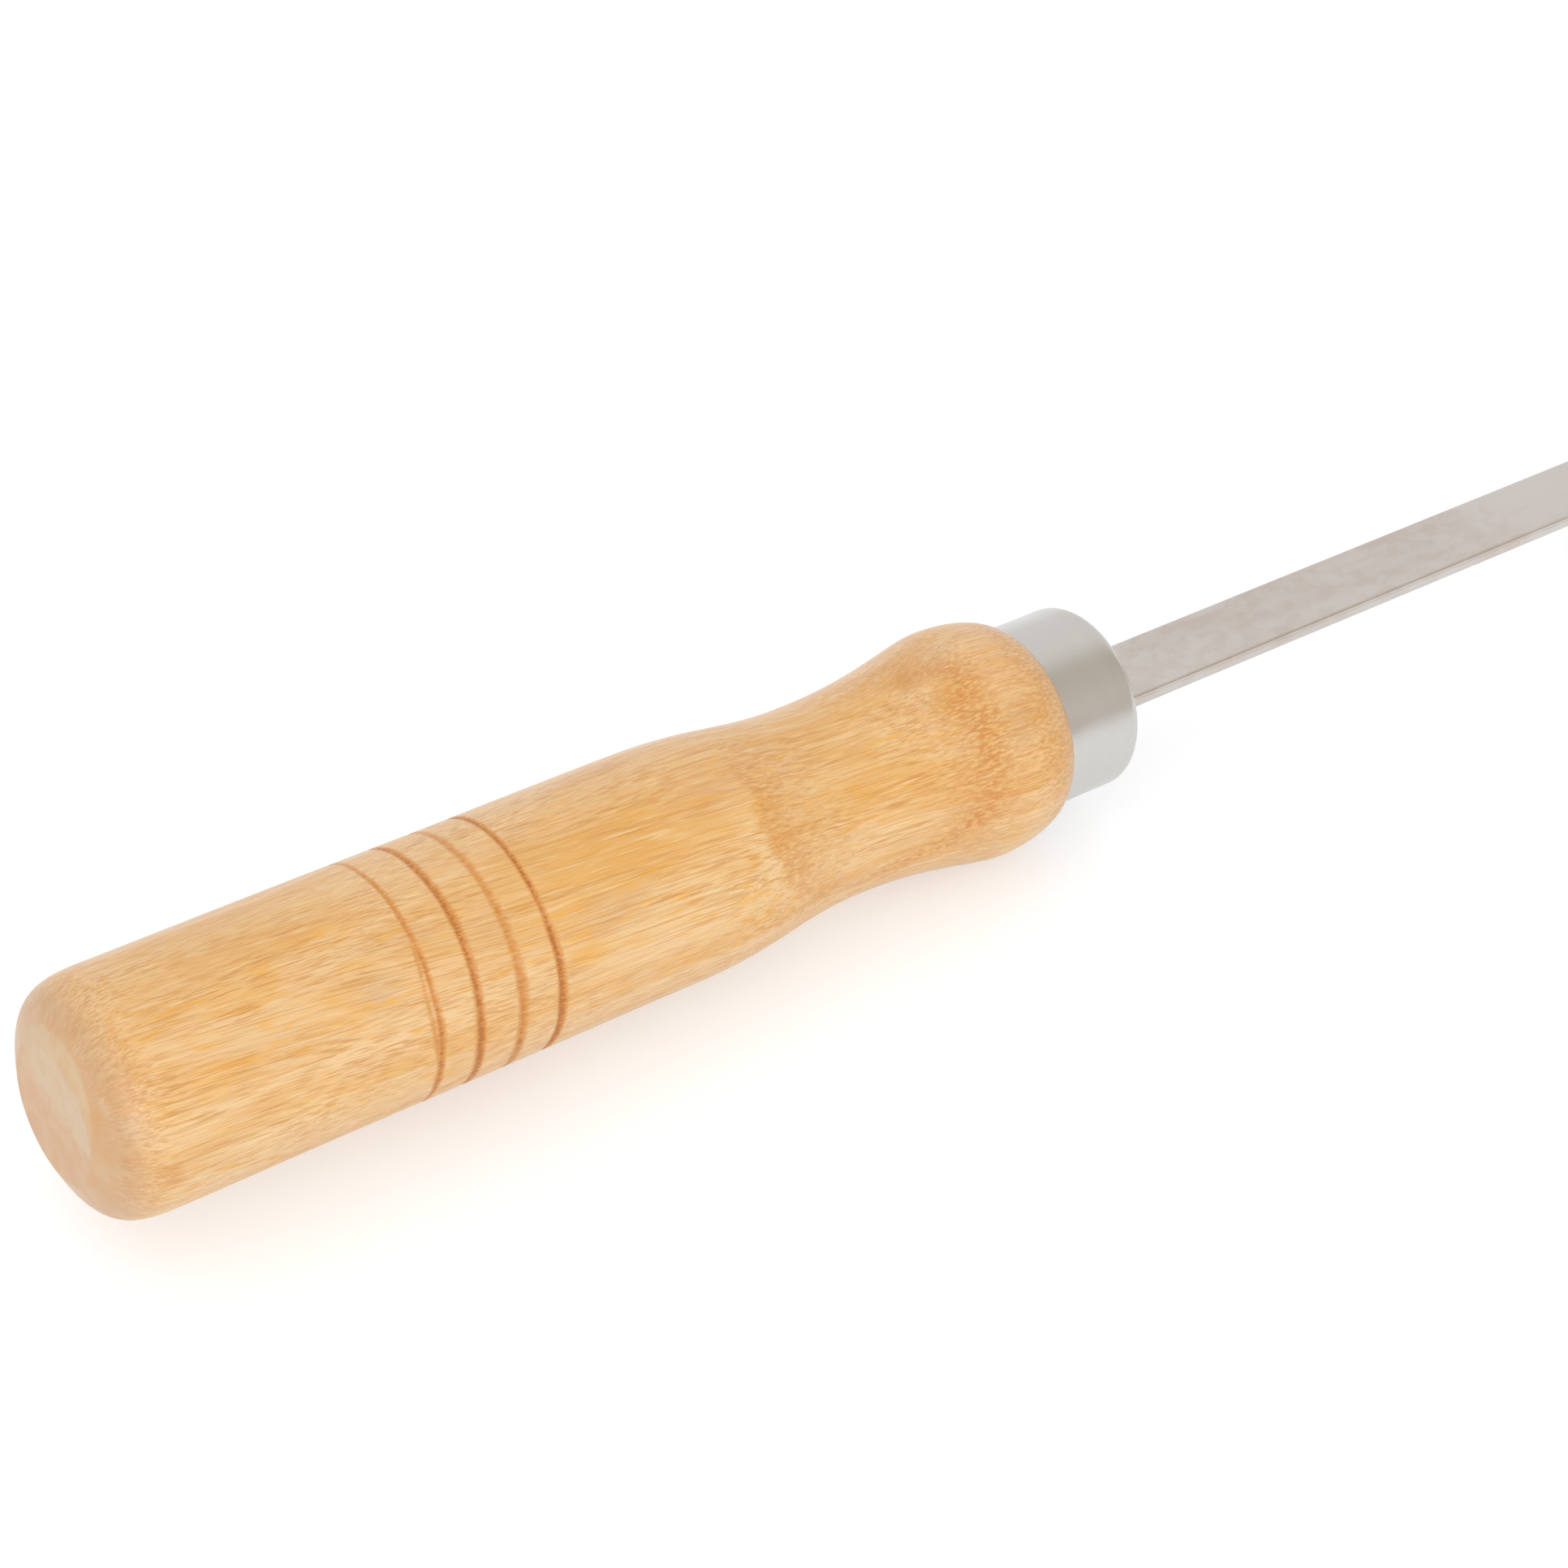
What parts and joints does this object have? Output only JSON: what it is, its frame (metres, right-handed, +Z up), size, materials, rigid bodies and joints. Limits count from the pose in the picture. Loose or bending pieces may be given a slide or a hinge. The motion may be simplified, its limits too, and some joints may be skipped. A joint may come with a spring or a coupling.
{
  "type": "kebab skewer",
  "caption": "Kebab skewer: a flat stainless steel blade ground to a point, held in a turned wooden handle with burnt lines, a waist and a drawn steel ferrule.",
  "frame": {"origin": "under the middle of the skewer's length, level with the lowest flat of the handle's swell", "axes": "+X along the skewer from the butt end to the point, +Z up and square to the blade's flat faces"},
  "size_m": [0.5546, 0.0314, 0.0313],
  "materials": {
    "handle_wood": "warm yellow-brown hardwood, sanded smooth under a thin satin lacquer, with four burnt lines",
    "ferrule_steel": "satin drawn stainless steel with a rounded front edge",
    "blade_steel": "satin rolled stainless strip, warm grey, with brighter sheared edges",
    "adhesive": "set amber epoxy, hidden inside the handle"
  },
  "bodies": {
    "root": {"handle": "handle_wood", "ferrule": "ferrule_steel", "blade": "blade_steel", "bore_adhesive": "adhesive"}
  },
  "joints": []
}
